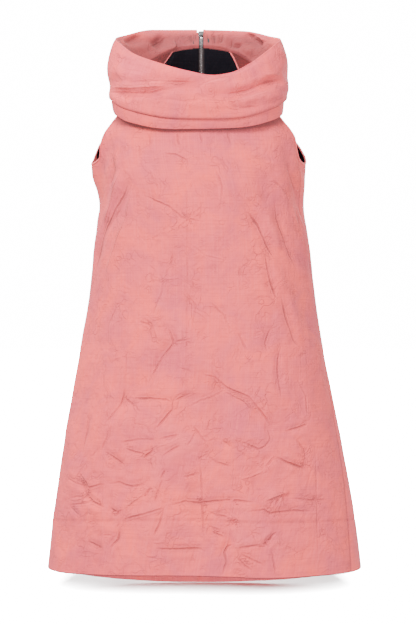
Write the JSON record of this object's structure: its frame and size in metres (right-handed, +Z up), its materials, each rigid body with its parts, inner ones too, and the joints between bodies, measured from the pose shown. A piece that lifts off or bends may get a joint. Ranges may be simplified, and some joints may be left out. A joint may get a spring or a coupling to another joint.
{
  "type": "sleeveless A-line sheath dress, held open as worn",
  "caption": "Sleeveless A-line dress in crushed cloth, with a wide slouchy funnel collar, cut-away armholes, a deep stitched hem and an exposed back zip.",
  "frame": {"origin": "middle of the neck hole, level with the back of the neckline, where the wearer's neck and shoulders hold the dress up", "axes": "+Z up along the dress, -Y out of its front, +X towards the wearer's left"},
  "size_m": [0.5152, 0.3319, 0.944],
  "materials": {
    "rose_cloth": "crushed plain weave, matt with a faint sheen",
    "dark_lining": "smooth lining cloth, near black",
    "zip_tape": "woven tape, near black",
    "zip_metal": "nickel, lightly polished"
  },
  "bodies": {
    "dress": {"front_panel": "rose_cloth", "back_panel_left": "rose_cloth", "back_panel_right": "rose_cloth", "front_hem_facing": "rose_cloth", "back_hem_facing_left": "rose_cloth", "back_hem_facing_right": "rose_cloth", "armhole_binding_left": "rose_cloth", "armhole_binding_right": "rose_cloth", "collar_stand": "rose_cloth", "collar_fall": "rose_cloth", "back_lining_left": "dark_lining", "back_lining_right": "dark_lining", "zip_tape_left": "zip_tape", "zip_tape_right": "zip_tape", "zip_chain": "zip_metal", "zip_bottom_stop": "zip_metal", "zip_slider": "zip_metal"},
    "pull_tab": {"zip_pull_tab": "zip_metal"}
  },
  "joints": [
    {"name": "pull_tab_hinge", "type": "hinge", "parent": "dress", "child": "pull_tab", "pos_m": [0, 0.1015, 0.02787], "axis": [1, 0, 0], "range_deg": [-38, 130]}
  ]
}
